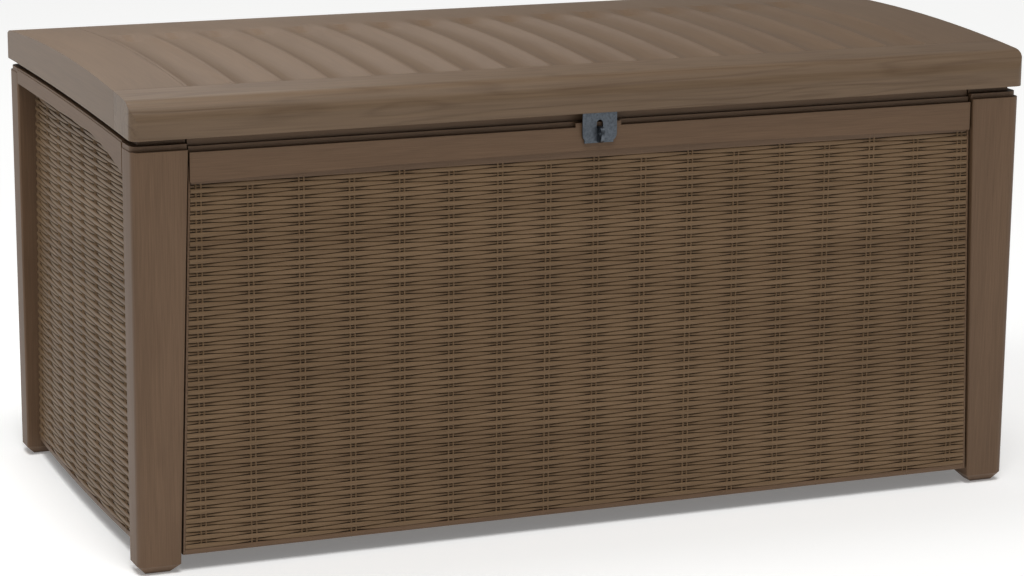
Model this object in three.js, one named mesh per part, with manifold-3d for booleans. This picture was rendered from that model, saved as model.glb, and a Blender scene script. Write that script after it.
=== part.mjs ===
// A moulded resin deck box with a bench lid: four corner posts, rattan-look walls hung under
// cap rails, a floor, and an arched lid on three rear hinges and two gas struts.
// Millimetres, +Z up. The front faces -Y. The origin is on the ground, in the middle.
import * as THREE from "three";
import { mergeVertices } from "three/addons/utils/BufferGeometryUtils.js";
import Module from "manifold-3d";

const wasm = await Module();
wasm.setup();

// ---- driving dimensions ----
// body
const bodyLength = 1290;
const bodyDepth = 674;
const bodyHeight = 564; // top of a front post
const rimRise = 9; // how much the arched side rim climbs behind the front posts
const rimApexY = 150;
const postWidthTop = 75;
const postWidthFoot = 58;
const postDepth = 50;
const postLean = 6; // a post's front face stands this much further back at the foot
const postRound = 12; // outer corner
const postEdge = 3; // the other corners
const postWall = 5;
const footChamfer = 12;
const panelBottom = 23;
const panelThickness = 7;
const panelRecess = 11; // front and back walls, behind the posts' faces
const sideRecess = 29; // side walls, behind the posts' faces, at the rim
const sideRecessFoot = 21;
const sideBow = 6;
const sidePanelThickness = 6;
const seamGroove = 2.5; // open groove between a front wall and a post
const flangeReach = 15;
const flangeThickness = 4;
// cap rails
const railFaceRecess = 4;
const railDrop = 4; // rail top below post top
const railHeight = 39; // at the ends of the front rail
const railArch = 7;
const railLeg = 5.7;
const railWeb = 4.3;
const railInnerLeg = 30;
const lipSetback = 7;
const lipHeight = 7;
const sideLipSetback = 1;
const sideLipShow = 2.5; // height of the lip that shows above a side rail's face
const upstandSetback = 12;
const upstandThickness = 4;
const upstandHeight = 24;
const sideRailHeight = 12; // least height of a side rail's face, where it is straight
const sideRailGusset = 28; // how far it widens down to the front post
const gussetLength = 207;
const latchPadWidth = 66;
const latchPadHeight = 6;
// floor
const floorTop = 50;
const floorThickness = 4;
const floorRibDepth = 18;
const floorLedge = 18;
const floorLedgeThickness = 5;
const floorRibThickness = 4;
const floorRibMargin = 20;
const floorRibsAcross = 6;
const floorRibsAlong = 4;
// lid
const lidSideOverhang = 2.5;
const lidFrontOverhang = 5;
const lidGap = 16; // lid edge above the post tops
const lidRise = 62; // crown above the lid's front edge
const lidCrownRadius = 4200;
const lidNose = 28; // radius of the bullnose and of the rear edge
const lidCornerRound = 12;
const lidWall = 4;
const beamDepth = 80;
const endBoardWidth = 95;
const lidRibDepth = 24;
const lidRibSpacing = 194.4; // three flutes
const lidRibThickness = 4;
const braceSize = 20;
const braceWall = 2;
const braceEndClearance = 4;
const frontBraceBehindBeam = 82; // brace axis, behind the seam of the front beam
const braceToBracket = 43.6; // rear brace, in front of the struts' lid brackets
// hinges
const hingeSpacing = 420;
const hingeWidth = 62;
const knuckleWidth = 28;
const knuckleGap = 1;
const barrelRadius = 6;
const pinRadius = 2.5;
const pinHeadRadius = 4.5;
const pinHeadLength = 2;
const hingeBehindLid = 2; // hinge axis behind the lid's rear face
const hingeBelowLid = 7; // hinge axis below the lid's rear edge
const leafThickness = 3.3;
const bodyLeafHeight = 26;
const lidLeafHeight = 15;
const hingeArmHeight = 12; // where the arm to the barrel leaves the body leaf
const pinOverrun = 1; // a pin's end past each side of its hinge
const screwPitch = 40;
// screws
const screwRadius = 2;
const screwHeadRadius = 3.8;
const screwHeadHeight = 2.2;
const bodyScrewLength = 13;
const lidScrewLength = 9;
const haspScrewLength = 4.6;
// gas struts
const strutX = 556; // clear of the posts, which the open struts lean past
const strutReach = 170; // both strut pivots are this far from the hinge axis
const strutLowerAngle = 60;
const strutUpperAngle = 10;
const cylinderRadius = 9;
const cylinderBore = 7.2;
const cylinderStart = 25; // bottom of the bore, from the lower pivot
const cylinderEnd = 178;
const glandLength = 6;
const rodRadius = 4;
const rodLength = 167;
const pistonRadius = 6.6;
const pistonLength = 8;
const eyeRadius = 8;
const eyeWidth = 12;
const studRadius = 4;
const bracketWidth = 26;
const bracketHeight = 40;
const bracketThickness = 3.5;
const bracketOnPost = 25; // how far a wall bracket reaches along the post's inner side
const bracketFlangeOut = 12;
const bracketFlangeIn = 24;
const eyeNeck = 2; // how far a strut's end sinks into its eye
const cylinderTaper = 6;
// latch
const haspWidth = 50;
const haspThickness = 1.8;
const haspBelowLid = 40;
const haspAboveEdge = 24;
const haspSlotWidth = 9;
const haspSlotHeight = 30;
const staplePlateThickness = 2;
const staplePlateHeight = 20;
const stapleWidth = 5;
const stapleEyeHeight = 22;
const stapleHoleRadius = 4;
const stapleHoleEdge = 3; // metal left in front of the padlock hole
const stapleBelowRailTop = 2;
const stapleInset = 4; // the plate is this much narrower than the hasp, each side
// fits
const gap = 0.3; // between pieces that touch
const runGap = 0.3; // round a pin or a stud
const over = 1; // how far a cutting solid runs past what it cuts
const fuse = 0.5; // how far joined solids sink into each other

// ---- derived ----
const halfLength = bodyLength / 2;
const halfDepth = bodyDepth / 2;
const lidHalfLength = halfLength + lidSideOverhang;
const lidHalfDepth = halfDepth + lidFrontOverhang;
const rimRadius = (halfDepth + rimApexY) ** 2 / (2 * rimRise);
const rimTop = (y) => bodyHeight + rimRise - rimRadius + Math.sqrt(rimRadius ** 2 - (y - rimApexY) ** 2);
const lidEdge = (y) => rimTop(y) + lidGap;
const crownHeight = lidEdge(-lidHalfDepth) + lidRise;
const rearTop = rimTop(halfDepth);
const postInnerY = halfDepth - postDepth;
const postWidth = (z) => postWidthFoot + ((postWidthTop - postWidthFoot) * z) / bodyHeight;
const panelFaceY = halfDepth - panelRecess;
const panelBackY = panelFaceY - panelThickness;
const railFaceY = halfDepth - railFaceRecess;
const railEndX = halfLength - postWidthTop - seamGroove;
const sideFaceX = (y, z) =>
  halfLength - sideRecess + ((sideRecess - sideRecessFoot) * (bodyHeight - z)) / bodyHeight +
  sideBow * (1 - (y / postInnerY) ** 2);
const hingeY = lidHalfDepth + hingeBehindLid;
const hingeZ = lidEdge(lidHalfDepth) - hingeBelowLid;
const reach = hingeY + barrelRadius; // the staple stands as far in front as the barrels do behind
const beamSeamY = -lidHalfDepth + beamDepth;
const fieldHalf = lidHalfLength - endBoardWidth;
const degrees = (a) => (a * Math.PI) / 180;
const strutLower = new THREE.Vector2(
  hingeY - strutReach * Math.cos(degrees(strutLowerAngle)),
  hingeZ - strutReach * Math.sin(degrees(strutLowerAngle)),
);
const strutUpper = new THREE.Vector2(
  hingeY - strutReach * Math.cos(degrees(strutUpperAngle)),
  hingeZ + strutReach * Math.sin(degrees(strutUpperAngle)),
);
const frontBraceY = beamSeamY + frontBraceBehindBeam;
const rearBraceY = strutUpper.x - bracketWidth / 2 - braceToBracket - braceSize / 2;

// ---- materials ----
const finish = (color, roughness, metalness) =>
  new THREE.MeshStandardMaterial({ color, roughness, metalness });
const resin = () => finish(0x6b5642, 0.55, 0);
const lidResin = () => finish(0x8a7763, 0.5, 0);
const weave = () => finish(0x66513c, 0.6, 0);
const zinc = () => finish(0x8d9196, 0.35, 0.9);
const blackPaint = () => finish(0x1d1d1f, 0.4, 0.2);
const chrome = () => finish(0xd0d2d4, 0.15, 1);

// ---- solids: three.js geometry in, manifold solid out ----
function solid(geometry) {
  const bare = geometry.index ? geometry.toNonIndexed() : geometry.clone();
  bare.deleteAttribute("normal");
  bare.deleteAttribute("uv");
  const merged = mergeVertices(bare, 1e-4);
  return new wasm.Manifold(
    new wasm.Mesh({
      numProp: 3,
      vertProperties: merged.attributes.position.array,
      triVerts: new Uint32Array(merged.index.array),
    }),
  );
}

function mesh(name, body, material) {
  const made = body.getMesh();
  const geometry = new THREE.BufferGeometry();
  geometry.setAttribute("position", new THREE.BufferAttribute(made.vertProperties, made.numProp));
  geometry.setIndex(new THREE.BufferAttribute(made.triVerts, 1));
  geometry.computeVertexNormals();
  const result = new THREE.Mesh(geometry, material);
  result.name = name;
  return result;
}

function box(x0, x1, y0, y1, z0, z1) {
  const geometry = new THREE.BoxGeometry(x1 - x0, y1 - y0, z1 - z0);
  geometry.translate((x0 + x1) / 2, (y0 + y1) / 2, (z0 + z1) / 2);
  return solid(geometry);
}

function extruded(points, depth) {
  return new THREE.ExtrudeGeometry(new THREE.Shape(points), { depth, bevelEnabled: false });
}

// An outline in (y, z), run along X.
function prismX(points, x0, x1) {
  const turn = new THREE.Matrix4().makeBasis(
    new THREE.Vector3(0, 1, 0),
    new THREE.Vector3(0, 0, 1),
    new THREE.Vector3(1, 0, 0),
  );
  return solid(extruded(points, x1 - x0).applyMatrix4(turn).translate(x0, 0, 0));
}

// An outline in (x, z), run along Y.
function prismY(points, y0, y1) {
  const turn = new THREE.Matrix4().makeBasis(
    new THREE.Vector3(1, 0, 0),
    new THREE.Vector3(0, 0, 1),
    new THREE.Vector3(0, -1, 0),
  );
  return solid(extruded(points, y1 - y0).applyMatrix4(turn).translate(0, y1, 0));
}

// An outline in (x, y), run along Z.
function prismZ(points, z0, z1) {
  return solid(extruded(points, z1 - z0).translate(0, 0, z0));
}

function cylinderX(radius, x0, x1, y, z, sides = 16) {
  const geometry = new THREE.CylinderGeometry(radius, radius, x1 - x0, sides);
  geometry.rotateZ(Math.PI / 2).translate((x0 + x1) / 2, y, z);
  return solid(geometry);
}

function cylinderY(radius, x, y0, y1, z, sides = 10) {
  const geometry = new THREE.CylinderGeometry(radius, radius, y1 - y0, sides);
  geometry.translate(x, (y0 + y1) / 2, z);
  return solid(geometry);
}

// A closed solid through rings of the same number of points, each given as Vector3.
function loft(rings) {
  const count = rings[0].length;
  const flat = rings.flat().flatMap((p) => [p.x, p.y, p.z]);
  const index = [];
  for (let r = 0; r + 1 < rings.length; r++) {
    for (let i = 0; i < count; i++) {
      const a = r * count + i;
      const b = r * count + ((i + 1) % count);
      index.push(a, b, b + count, a, b + count, a + count);
    }
  }
  const last = (rings.length - 1) * count;
  for (let i = 1; i + 1 < count; i++) {
    index.push(0, i + 1, i);
    index.push(last, last + i, last + i + 1);
  }
  const geometry = new THREE.BufferGeometry();
  geometry.setAttribute("position", new THREE.Float32BufferAttribute(flat, 3));
  geometry.setIndex(index);
  return solid(geometry);
}

// A rounded rectangle in (x, y), counter-clockwise; radii start at the (x0, y0) corner.
function roundedRectangle(x0, y0, x1, y1, radii, steps = 4) {
  const corners = [
    [x0, y0, 1, 1, Math.PI],
    [x1, y0, -1, 1, 1.5 * Math.PI],
    [x1, y1, -1, -1, 0],
    [x0, y1, 1, -1, 0.5 * Math.PI],
  ];
  return corners.flatMap(([x, y, sx, sy, start], i) => {
    const r = radii[i];
    return Array.from({ length: steps + 1 }, (_, k) => {
      const angle = start + (k / steps) * (Math.PI / 2);
      return new THREE.Vector2(x + sx * r + r * Math.cos(angle), y + sy * r + r * Math.sin(angle));
    });
  });
}

// Evenly spaced numbers from a to b.
const spread = (a, b, steps) => Array.from({ length: steps + 1 }, (_, i) => a + ((b - a) * i) / steps);
const outline = (pairs) => pairs.map(([a, b]) => new THREE.Vector2(a, b));

// ---- body: posts, made at the front left and mirrored ----
function postRing(z, inset, top) {
  const faceY = halfDepth - (postLean * (top - z)) / top;
  const inner = Math.max(postEdge - inset, 1);
  const points = roundedRectangle(
    -halfLength + inset,
    -faceY + inset,
    -halfLength + postWidth(z) - inset,
    -postInnerY - inset,
    [Math.max(postRound - inset, 1), inner, inner, inner],
    3,
  );
  return points.map((p) => new THREE.Vector3(p.x, p.y, z));
}

function post(name, sideX, sideY) {
  const top = sideY < 0 ? bodyHeight : rearTop;
  let body = loft([postRing(0, footChamfer, top), postRing(footChamfer, 0, top), postRing(top, 0, top)]);
  const innerX = -halfLength + postWidthTop;
  const ringed = (z, inset) => postRing(z, inset, top);
  const core = loft([
    ringed(0, footChamfer + postWall).map((p) => p.setZ(-over)),
    ringed(footChamfer, postWall),
    ringed(top - postWall, postWall),
  ]);
  body = body.subtract(core);
  const lipY = -halfDepth + lipSetback;
  const lip = prismZ(
    roundedRectangle(-halfLength + sideLipSetback, lipY, innerX, -postInnerY, [postRound, 1, 1, 1]),
    top - fuse,
    top + lipHeight,
  );
  const upX = -halfLength + upstandSetback;
  const upY = -halfDepth + railFaceRecess + upstandSetback;
  const upTop = top - railDrop + upstandHeight;
  const upFront = box(upX, innerX, upY, upY + upstandThickness, top - fuse, upTop);
  const upSide = box(upX, upX + upstandThickness, upY, -postInnerY, top - fuse, upTop);
  const flangeTop = top - railDrop - railInnerLeg - 2 * over;
  const flangeBottom = floorTop + over;
  const edgeX = (z) => -halfLength + postWidth(z);
  const frontFlange = loft(
    [flangeBottom, flangeTop].map((z) => [
      new THREE.Vector3(edgeX(z) - postWall, -panelBackY + gap, z),
      new THREE.Vector3(edgeX(z) + flangeReach, -panelBackY + gap, z),
      new THREE.Vector3(edgeX(z) + flangeReach, -panelBackY + gap + flangeThickness, z),
      new THREE.Vector3(edgeX(z) - postWall, -panelBackY + gap + flangeThickness, z),
    ]),
  );
  const sideX0 = (z) => -sideFaceX(postInnerY, z) + sidePanelThickness + gap;
  const sideFlange = loft(
    [flangeBottom, flangeTop].map((z) => [
      new THREE.Vector3(sideX0(z), -postInnerY - postWall, z),
      new THREE.Vector3(sideX0(z) + flangeThickness, -postInnerY - postWall, z),
      new THREE.Vector3(sideX0(z) + flangeThickness, -postInnerY + flangeReach, z),
      new THREE.Vector3(sideX0(z), -postInnerY + flangeReach, z),
    ]),
  );
  for (const piece of [lip, upFront, upSide, frontFlange, sideFlange]) body = body.add(piece);
  const made = mesh(name, body, resin());
  made.scale.set(-sideX, -sideY, 1);
  return made;
}

// ---- body: front and back walls, made at the front ----
function wallPanel(name, sideY, top) {
  const height = top - railDrop - railWeb - gap;
  const ring = (z) => {
    const x = halfLength - postWidth(z) - seamGroove;
    return [
      new THREE.Vector3(-x, -panelFaceY, z),
      new THREE.Vector3(x, -panelFaceY, z),
      new THREE.Vector3(x, -panelBackY, z),
      new THREE.Vector3(-x, -panelBackY, z),
    ];
  };
  const capStart = bodyHeight - railDrop - railHeight;
  const tucked = (z) => ring(z).map((p) => p.setX(Math.sign(p.x) * railEndX));
  let body = loft([ring(panelBottom), ring(capStart), tucked(height)]);
  const ledgeX = railEndX - flangeReach;
  const ledgeTop = floorTop - floorThickness - gap;
  const ledgeBottom = ledgeTop - floorLedgeThickness;
  body = body.add(
    box(-ledgeX, ledgeX, -panelBackY - fuse, -panelBackY + floorLedge, ledgeBottom, ledgeTop),
  );
  if (sideY > 0) body = body.subtract(hingeScrewHoles(-1));
  const made = mesh(name, body, weave());
  made.scale.set(1, -sideY, 1);
  return made;
}

// Holes for the screws of the hinges' body leaves; sign -1 gives them for a piece made at the front.
const bodyScrewZ = rearTop - railDrop - bodyLeafHeight / 2;
function hingeScrewHoles(sign) {
  const holes = hingePlaces().flatMap(({ x }) =>
    [-1, 1].map((side) => {
      const near = sign * (railFaceY + over);
      const far = sign * (panelBackY - over);
      return cylinderY(
        screwRadius + gap, x + (side * screwPitch) / 2, Math.min(near, far), Math.max(near, far), bodyScrewZ,
      );
    }),
  );
  return holes.reduce((all, hole) => all.add(hole));
}

// ---- body: front and back cap rails, made at the front ----
function capRail(name, sideY, top) {
  const railTop = top - railDrop;
  const bottom = railTop - railHeight;
  const upY = -railFaceY + upstandSetback;
  const innerY = -panelBackY + 2 * gap;
  let body = prismX(
    outline([
      [-railFaceY, bottom],
      [-panelFaceY - gap, bottom],
      [-panelFaceY - gap, railTop - railWeb],
      [innerY, railTop - railWeb],
      [innerY, railTop - railInnerLeg],
      [innerY + railLeg, railTop - railInnerLeg],
      [innerY + railLeg, railTop],
      [upY + upstandThickness, railTop],
      [upY + upstandThickness, railTop + upstandHeight],
      [upY, railTop + upstandHeight],
      [upY, railTop + lipHeight],
      [-railFaceY + lipSetback, railTop + lipHeight],
      [-railFaceY + lipSetback, railTop],
      [-railFaceY, railTop],
    ]),
    -railEndX,
    railEndX,
  );
  const farEnd = railEndX + over;
  const archRadius = (railEndX ** 2 + railArch ** 2) / (2 * railArch);
  const arch = spread(-farEnd, farEnd, 16).map((x) => [
    x,
    bottom + railArch - archRadius + Math.sqrt(archRadius ** 2 - x ** 2),
  ]);
  const under = outline([[-farEnd, bottom - over], [farEnd, bottom - over], ...arch.reverse()]);
  body = body.subtract(prismY(under, -railFaceY - over, -panelFaceY));
  if (sideY < 0) {
    const half = latchPadWidth / 2;
    body = body.add(
      box(-half, half, -railFaceY, -railFaceY + lipSetback + fuse, railTop - fuse, railTop + latchPadHeight),
    );
  } else {
    body = body.subtract(hingeScrewHoles(-1));
  }
  const made = mesh(name, body, resin());
  made.scale.set(1, -sideY, 1);
  return made;
}

// ---- body: side walls and their arched rails, made at the left ----
function sidePanel(name, sideX) {
  const end = postInnerY - gap;
  const sections = spread(-end, end, 10).map((y) => {
    const top = rimTop(y) - railDrop - railWeb - gap;
    return [
      new THREE.Vector3(-sideFaceX(y, panelBottom), y, panelBottom),
      new THREE.Vector3(-sideFaceX(y, top), y, top),
      new THREE.Vector3(-sideFaceX(y, top) + sidePanelThickness, y, top),
      new THREE.Vector3(-sideFaceX(y, panelBottom) + sidePanelThickness, y, panelBottom),
    ];
  });
  const made = mesh(name, loft(sections), weave());
  made.scale.x = -sideX;
  return made;
}

function sideRail(name, sideX) {
  const end = postInnerY - gap;
  const ys = spread(-end, end, 24);
  const railTop = (y) => rimTop(y) - railDrop;
  const faceBottom = (y) => {
    const along = Math.max(0, (gussetLength - postInnerY - y) / gussetLength);
    return bodyHeight + rimRise - railDrop - sideRailHeight - sideRailGusset * along ** 2;
  };
  const band = (low, high, x0, x1) =>
    prismX(outline([...ys.map((y) => [y, low(y)]), ...[...ys].reverse().map((y) => [y, high(y)])]), x0, x1);
  const outerX = -halfLength;
  const innerX = -halfLength + sideRecess + sidePanelThickness + gap;
  const webX = innerX + railLeg;
  const lipTop = (y) => rimTop(y) + lipHeight;
  let body = band(faceBottom, (y) => lipTop(y) - sideLipShow, outerX, outerX + railLeg);
  const webBottom = (y) => railTop(y) - railWeb;
  const web = band(webBottom, railTop, outerX + sideLipSetback, webX);
  const lip = band(webBottom, lipTop, outerX + sideLipSetback, outerX + upstandSetback + upstandThickness);
  const upX = outerX + upstandSetback;
  const upstand = band(webBottom, (y) => railTop(y) + upstandHeight, upX, upX + upstandThickness);
  const innerLeg = band((y) => railTop(y) - railInnerLeg, railTop, innerX, webX);
  for (const piece of [web, lip, upstand, innerLeg]) body = body.add(piece);
  const made = mesh(name, body, resin());
  made.scale.x = -sideX;
  return made;
}

// ---- body: floor with ribs underneath ----
function floorPanel() {
  const x = sideFaceX(postInnerY, floorTop) - sidePanelThickness - gap;
  const y = panelBackY - gap;
  const postX = halfLength - postWidth(floorTop) - gap;
  const postY = postInnerY - gap;
  const quarter = [
    [x, -postY],
    [x, postY],
    [postX, postY],
    [postX, y],
  ];
  const turned = quarter.map(([a, b]) => [-a, -b]);
  let body = prismZ(outline([[postX, -y], [postX, -postY], ...quarter, [-postX, y], [-postX, postY],
    ...turned]), floorTop - floorThickness, floorTop);
  const ribBottom = floorTop - floorThickness - floorRibDepth;
  const ribY = y - floorLedge - 2 * over;
  const ribEndX = postX - floorRibMargin;
  const half = floorRibThickness / 2;
  for (const across of spread(-ribEndX, ribEndX, floorRibsAcross - 1))
    body = body.add(box(across - half, across + half, -ribY, ribY, ribBottom, floorTop - fuse));
  for (const along of spread(half - ribY, ribY - half, floorRibsAlong - 1))
    body = body.add(box(-ribEndX, ribEndX, along - half, along + half, ribBottom, floorTop - fuse));
  return mesh("floor_panel", body, resin());
}

// ---- lid shell: one arched, hollow form, cut into its boards ----
function lidProfile(inset) {
  const crownRadius = lidCrownRadius - inset;
  const crownCentre = crownHeight - lidCrownRadius;
  const nose = lidNose - inset;
  const noseY = lidHalfDepth - lidNose;
  const noseZ = crownCentre + Math.sqrt((lidCrownRadius - lidNose) ** 2 - noseY ** 2);
  const turn = Math.asin(noseY / (lidCrownRadius - lidNose));
  const front = spread(Math.PI, Math.PI / 2 + turn, 6).map((a) => [
    -noseY + nose * Math.cos(a),
    noseZ + nose * Math.sin(a),
  ]);
  const crown = spread(Math.PI / 2 + turn, Math.PI / 2 - turn, 14)
    .slice(1, -1)
    .map((a) => [crownRadius * Math.cos(a), crownCentre + crownRadius * Math.sin(a)]);
  const rear = spread(Math.PI / 2 - turn, 0, 6).map((a) => [
    noseY + nose * Math.cos(a),
    noseZ + nose * Math.sin(a),
  ]);
  return [...front, ...crown, ...rear];
}

function lidForm(inset, drop) {
  const edge = lidHalfDepth - inset;
  const bottom = spread(edge, -edge, 10).map((y) => [y, lidEdge(y) - drop]);
  const profile = prismX(
    outline([...lidProfile(inset), ...bottom].reverse()),
    -lidHalfLength - over,
    lidHalfLength + over,
  );
  const x = lidHalfLength - inset;
  const round = lidCornerRound - inset;
  const plan = prismZ(
    roundedRectangle(-x, -edge, x, edge, [round, round, round, round]),
    lidEdge(-edge) - drop - over,
    crownHeight + over,
  );
  return profile.intersect(plan);
}

const lidOuter = lidForm(0, 0);
const lidShell = lidOuter.subtract(lidForm(lidWall, over));
const lidPart = (x0, x1, y0, y1) => lidShell.intersect(box(x0, x1, y0, y1, 0, crownHeight + over));
const farX = lidHalfLength + over;
const farY = lidHalfDepth + over;

function lidFrontBeam() {
  let body = lidPart(-farX, farX, -farY, beamSeamY - gap / 2);
  const z = haspScrewZ;
  for (const side of [-1, 1]) {
    const x = side * haspScrewX;
    body = body.subtract(cylinderY(screwRadius + gap, x, -lidHalfDepth + lidWall / 4, -lidHalfDepth + 8, z));
  }
  return mesh("lid_front_beam", body, lidResin());
}

function lidEndBoard(name, side) {
  const inner = fieldHalf + gap / 2;
  const body = lidPart(inner, farX, beamSeamY + gap / 2, farY);
  const made = mesh(name, body, lidResin());
  made.scale.x = side;
  return made;
}

const ribBottomZ = crownHeight - lidRibDepth;
function lidTopPanel() {
  const half = fieldHalf - gap / 2;
  let body = lidPart(-half, half, beamSeamY + gap / 2, farY);
  const room = lidForm(lidWall - fuse, over);
  const ribs = Math.floor((half - 2 * lidWall) / lidRibSpacing);
  for (let i = -ribs; i <= ribs; i++) {
    const x = i * lidRibSpacing;
    const x0 = x - lidRibThickness / 2;
    const x1 = x + lidRibThickness / 2;
    const slab = box(x0, x1, beamSeamY + gap, lidHalfDepth - lidNose, ribBottomZ, crownHeight);
    body = body.add(room.intersect(slab));
  }
  for (const { x } of hingePlaces())
    for (const side of [-1, 1])
      body = body.subtract(
        cylinderY(screwRadius + gap, x + (side * screwPitch) / 2, lidHalfDepth - 10, farY, lidScrewZ),
      );
  return mesh("lid_top_panel", body, lidResin());
}

function lidBrace(name, y) {
  const x = lidHalfLength - lidWall - braceEndClearance;
  const top = ribBottomZ - gap;
  const half = braceSize / 2;
  const inner = half - braceWall;
  const tube = box(-x, x, y - half, y + half, top - braceSize, top).subtract(
    box(-x - over, x + over, y - inner, y + inner, top - braceSize + braceWall, top - braceWall),
  );
  return mesh(name, tube, zinc());
}

// ---- hinges: a body leaf, a lid leaf and a pin each ----
function hingePlaces() {
  return [
    { word: "left", x: -hingeSpacing },
    { word: "centre", x: 0 },
    { word: "right", x: hingeSpacing },
  ];
}

const lidScrewZ = hingeZ + hingeBelowLid + lidLeafHeight / 2;
const onAxis = (angle) => [
  hingeY + barrelRadius * Math.cos(degrees(angle)),
  hingeZ + barrelRadius * Math.sin(degrees(angle)),
];

function hingeBodyLeaf() {
  const y0 = railFaceY + gap;
  const y1 = y0 + leafThickness;
  const top = rearTop - railDrop;
  const armBottom = top - hingeArmHeight;
  const half = knuckleWidth / 2;
  let body = box(-hingeWidth / 2, hingeWidth / 2, y0, y1, top - bodyLeafHeight, top);
  const arm = outline([[y0, armBottom], [y1, armBottom], onAxis(-30), onAxis(150), [y0, top]]);
  body = body.add(prismX(arm, -half, half));
  body = body.add(cylinderX(barrelRadius, -half, half, hingeY, hingeZ));
  for (const side of [-1, 1])
    body = body.subtract(
      cylinderY(screwRadius + gap, (side * screwPitch) / 2, y0 - over, y1 + over, bodyScrewZ),
    );
  return body.subtract(cylinderX(pinRadius + runGap, -half - over, half + over, hingeY, hingeZ));
}

function hingeLidLeaf() {
  const y0 = lidHalfDepth + gap;
  const y1 = y0 + leafThickness;
  const bottom = hingeZ + hingeBelowLid + gap;
  const inner = knuckleWidth / 2 + knuckleGap;
  const outer = hingeWidth / 2;
  let body = box(-outer, outer, y0, y1, bottom, bottom + lidLeafHeight - gap);
  for (const side of [-1, 1]) {
    const x0 = Math.min(side * inner, side * outer);
    const x1 = Math.max(side * inner, side * outer);
    body = body.add(box(x0, x1, y0, y1, hingeZ, bottom + fuse));
    body = body.add(cylinderX(barrelRadius, x0, x1, hingeY, hingeZ));
    body = body.subtract(
      cylinderY(screwRadius + gap, (side * screwPitch) / 2, y0 - over, y1 + over, lidScrewZ),
    );
  }
  return body.subtract(cylinderX(pinRadius + runGap, -outer - over, outer + over, hingeY, hingeZ));
}

function lathe(pairs, sides) {
  return solid(new THREE.LatheGeometry(outline(pairs), sides));
}

// A pin along X with one head, made upright and laid over.
function hingePin(name, x) {
  const half = hingeWidth / 2 + pinOverrun;
  const pin = lathe(
    [[0, -half], [pinRadius, -half], [pinRadius, half], [pinHeadRadius, half],
      [pinHeadRadius, half + pinHeadLength], [0, half + pinHeadLength]],
    16,
  );
  const made = mesh(name, pin, zinc());
  made.rotation.z = -Math.PI / 2;
  made.position.set(x, hingeY, hingeZ);
  return made;
}

// A pan-head screw: head on +Y, shank towards -Y, its seat at the origin.
function screw(name, length, x, y, z) {
  const half = screwHeadRadius * 0.6;
  const body = lathe(
    [[0, -length], [screwRadius, -length + 1], [screwRadius, 0], [screwHeadRadius, 0],
      [screwHeadRadius, screwHeadHeight * 0.5], [half, screwHeadHeight], [0, screwHeadHeight]],
    10,
  );
  const made = mesh(name, body, zinc());
  made.position.set(x, y, z);
  return made;
}

function hinge({ word, x }) {
  const group = new THREE.Group();
  const bodyLeaf = mesh("hinge_body_leaf_" + word, hingeBodyLeaf(), zinc());
  const lidLeaf = mesh("hinge_lid_leaf_" + word, hingeLidLeaf(), zinc());
  bodyLeaf.position.x = x;
  lidLeaf.position.x = x;
  group.add(bodyLeaf, lidLeaf, hingePin("hinge_pin_" + word, x));
  const bodySeat = railFaceY + leafThickness + 2 * gap;
  const lidSeat = lidHalfDepth + leafThickness + 2 * gap;
  for (const [hand, side] of [["a", -1], ["b", 1]]) {
    const screwX = x + (side * screwPitch) / 2;
    const tail = word + "_" + hand;
    group.add(screw("hinge_body_screw_" + tail, bodyScrewLength, screwX, bodySeat, bodyScrewZ));
    group.add(screw("hinge_lid_screw_" + tail, lidScrewLength, screwX, lidSeat, lidScrewZ));
  }
  return group;
}

// ---- gas struts: brackets, cylinder and rod ----
// Made for the left side, with the strut upright on +Z from its own pivot, then turned about X.
const strutTilt = Math.atan2(strutLower.x - strutUpper.x, strutUpper.y - strutLower.y);

function eye(x) {
  return cylinderX(eyeRadius, x - eyeWidth / 2, x + eyeWidth / 2, 0, 0);
}

function eyeHole(x) {
  return cylinderX(studRadius + runGap, x - eyeWidth, x + eyeWidth, 0, 0);
}

function upright(pairs) {
  return solid(new THREE.LatheGeometry(outline(pairs), 18).rotateX(Math.PI / 2));
}

function strutCylinder(name, side) {
  const start = eyeRadius - eyeNeck;
  const gland = cylinderEnd - glandLength;
  const hole = rodRadius + runGap;
  const tube = upright([
    [0, start], [cylinderRadius, cylinderStart - cylinderTaper], [cylinderRadius, cylinderEnd],
    [hole, cylinderEnd],
    [hole, gland], [cylinderBore, gland], [cylinderBore, cylinderStart], [0, cylinderStart],
  ]);
  const made = mesh(name, tube.add(eye(0)).subtract(eyeHole(0)), blackPaint());
  made.rotation.x = strutTilt;
  made.position.set(side * strutX, strutLower.x, strutLower.y);
  return made;
}

function strutRod(name, side) {
  const start = eyeRadius - eyeNeck;
  const rod = upright([
    [0, start], [rodRadius, start], [rodRadius, rodLength - pistonLength],
    [pistonRadius, rodLength - pistonLength], [pistonRadius, rodLength], [0, rodLength],
  ]);
  const made = mesh(name, rod.add(eye(0)).subtract(eyeHole(0)), chrome());
  made.rotation.x = strutTilt + Math.PI;
  made.position.set(side * strutX, strutUpper.x, strutUpper.y);
  return made;
}

const studEndX = -strutX + eyeWidth / 2 + 2;

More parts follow.
